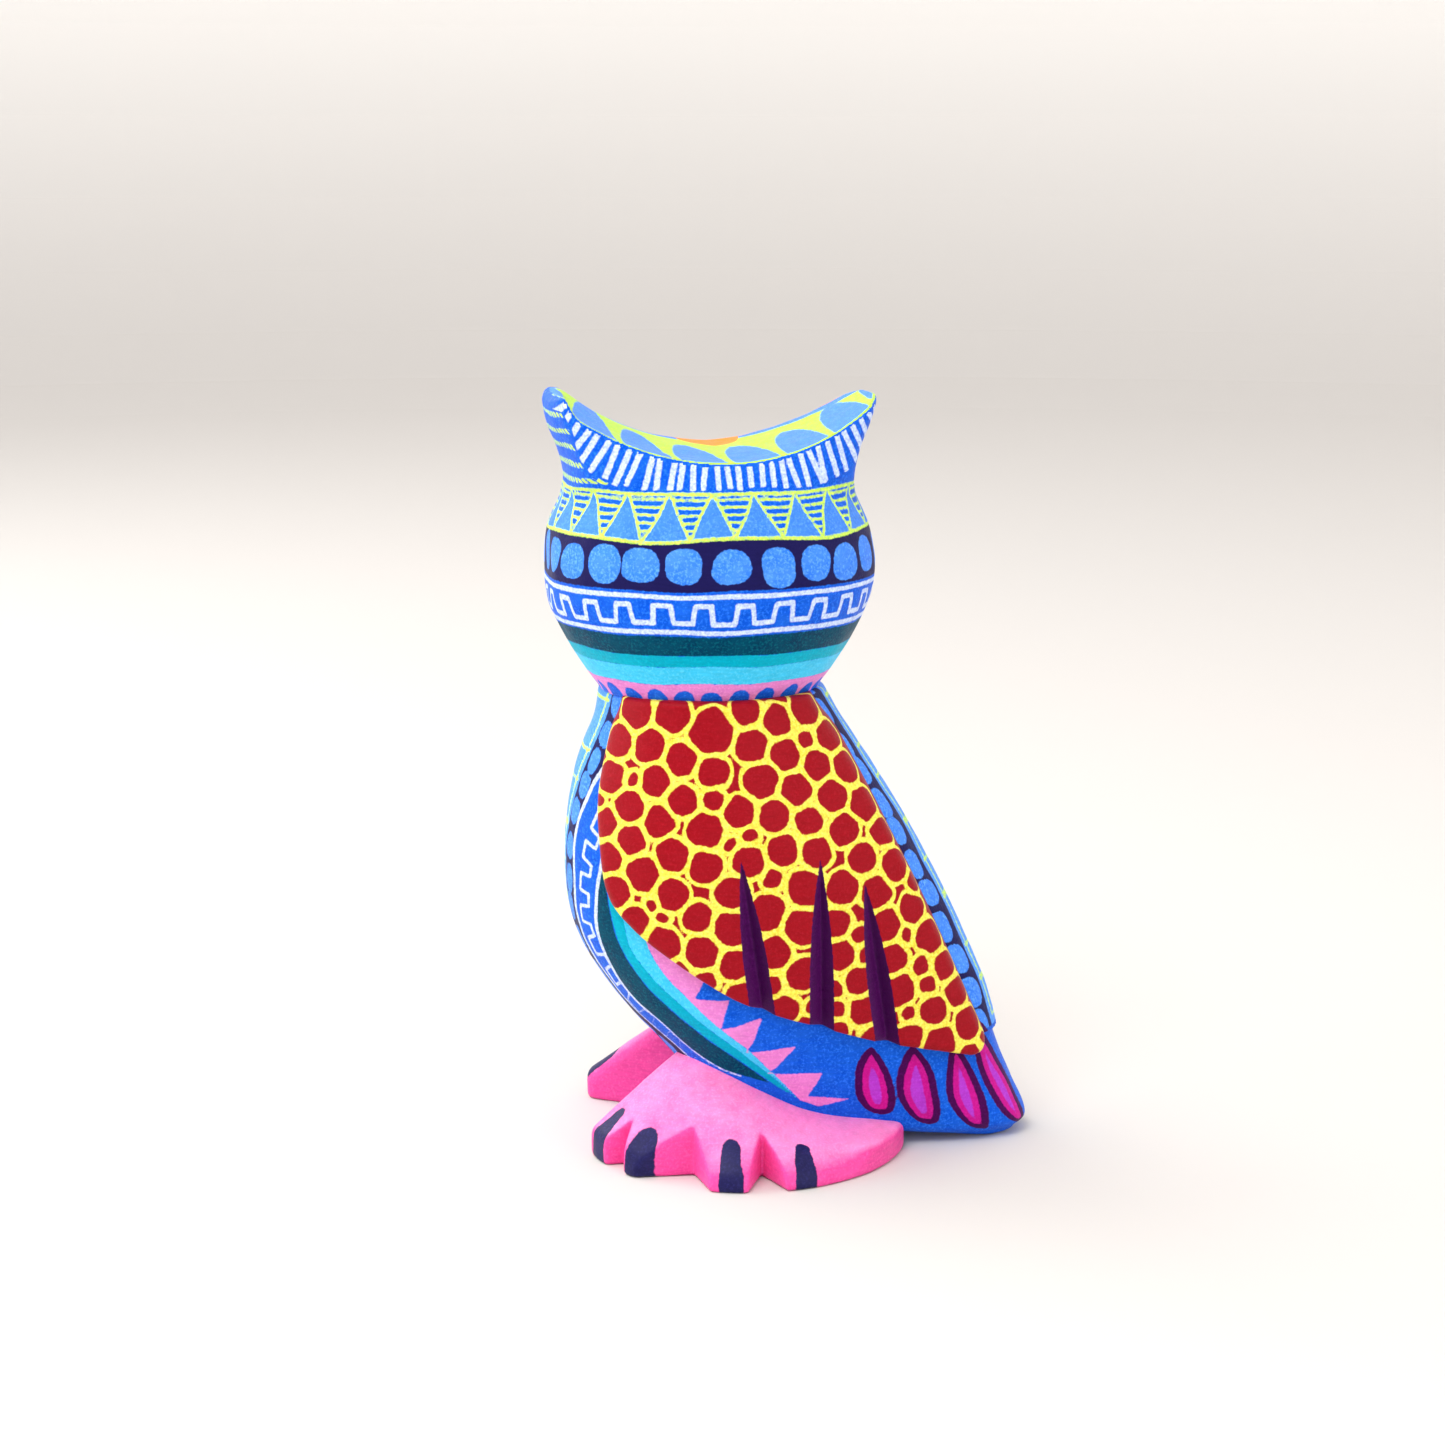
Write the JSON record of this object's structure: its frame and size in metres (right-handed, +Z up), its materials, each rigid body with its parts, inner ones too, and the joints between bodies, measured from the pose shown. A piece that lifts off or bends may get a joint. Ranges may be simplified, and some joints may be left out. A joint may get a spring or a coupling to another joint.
{
  "type": "carved wooden owl figurine",
  "caption": "Small carved and hand-painted wooden owl that stands on two broad feet and looks over its right shoulder; an ornament for a shelf.",
  "frame": {"origin": "middle of the bounding box in plan, on the surface that the owl stands on", "axes": "+Z up, -Y the way the body faces, +Y towards the tail, +X the body's left side; the face looks towards -X"},
  "size_m": [0.051, 0.0646, 0.0996],
  "materials": {
    "painted_blue": "hand-painted acrylic on carved copal wood, satin to matte, in blue with many coloured bands",
    "painted_crimson": "hand-painted acrylic, dark crimson dots ringed in yellow with purple grooves",
    "painted_pink": "hand-painted acrylic, hot pink with navy claws",
    "painted_orange": "hand-painted acrylic, orange",
    "bare_wood": "bare sanded hardwood dowel"
  },
  "bodies": {
    "root": {"torso": "painted_blue", "head": "painted_blue", "beak": "painted_orange", "wing_left": "painted_crimson", "wing_right": "painted_crimson", "foot_left": "painted_pink", "foot_right": "painted_pink", "neck_dowel": "bare_wood", "foot_dowel_left": "bare_wood", "foot_dowel_right": "bare_wood", "wing_peg_upper_left": "bare_wood", "wing_peg_upper_right": "bare_wood", "wing_peg_lower_left": "bare_wood", "wing_peg_lower_right": "bare_wood"}
  },
  "joints": []
}
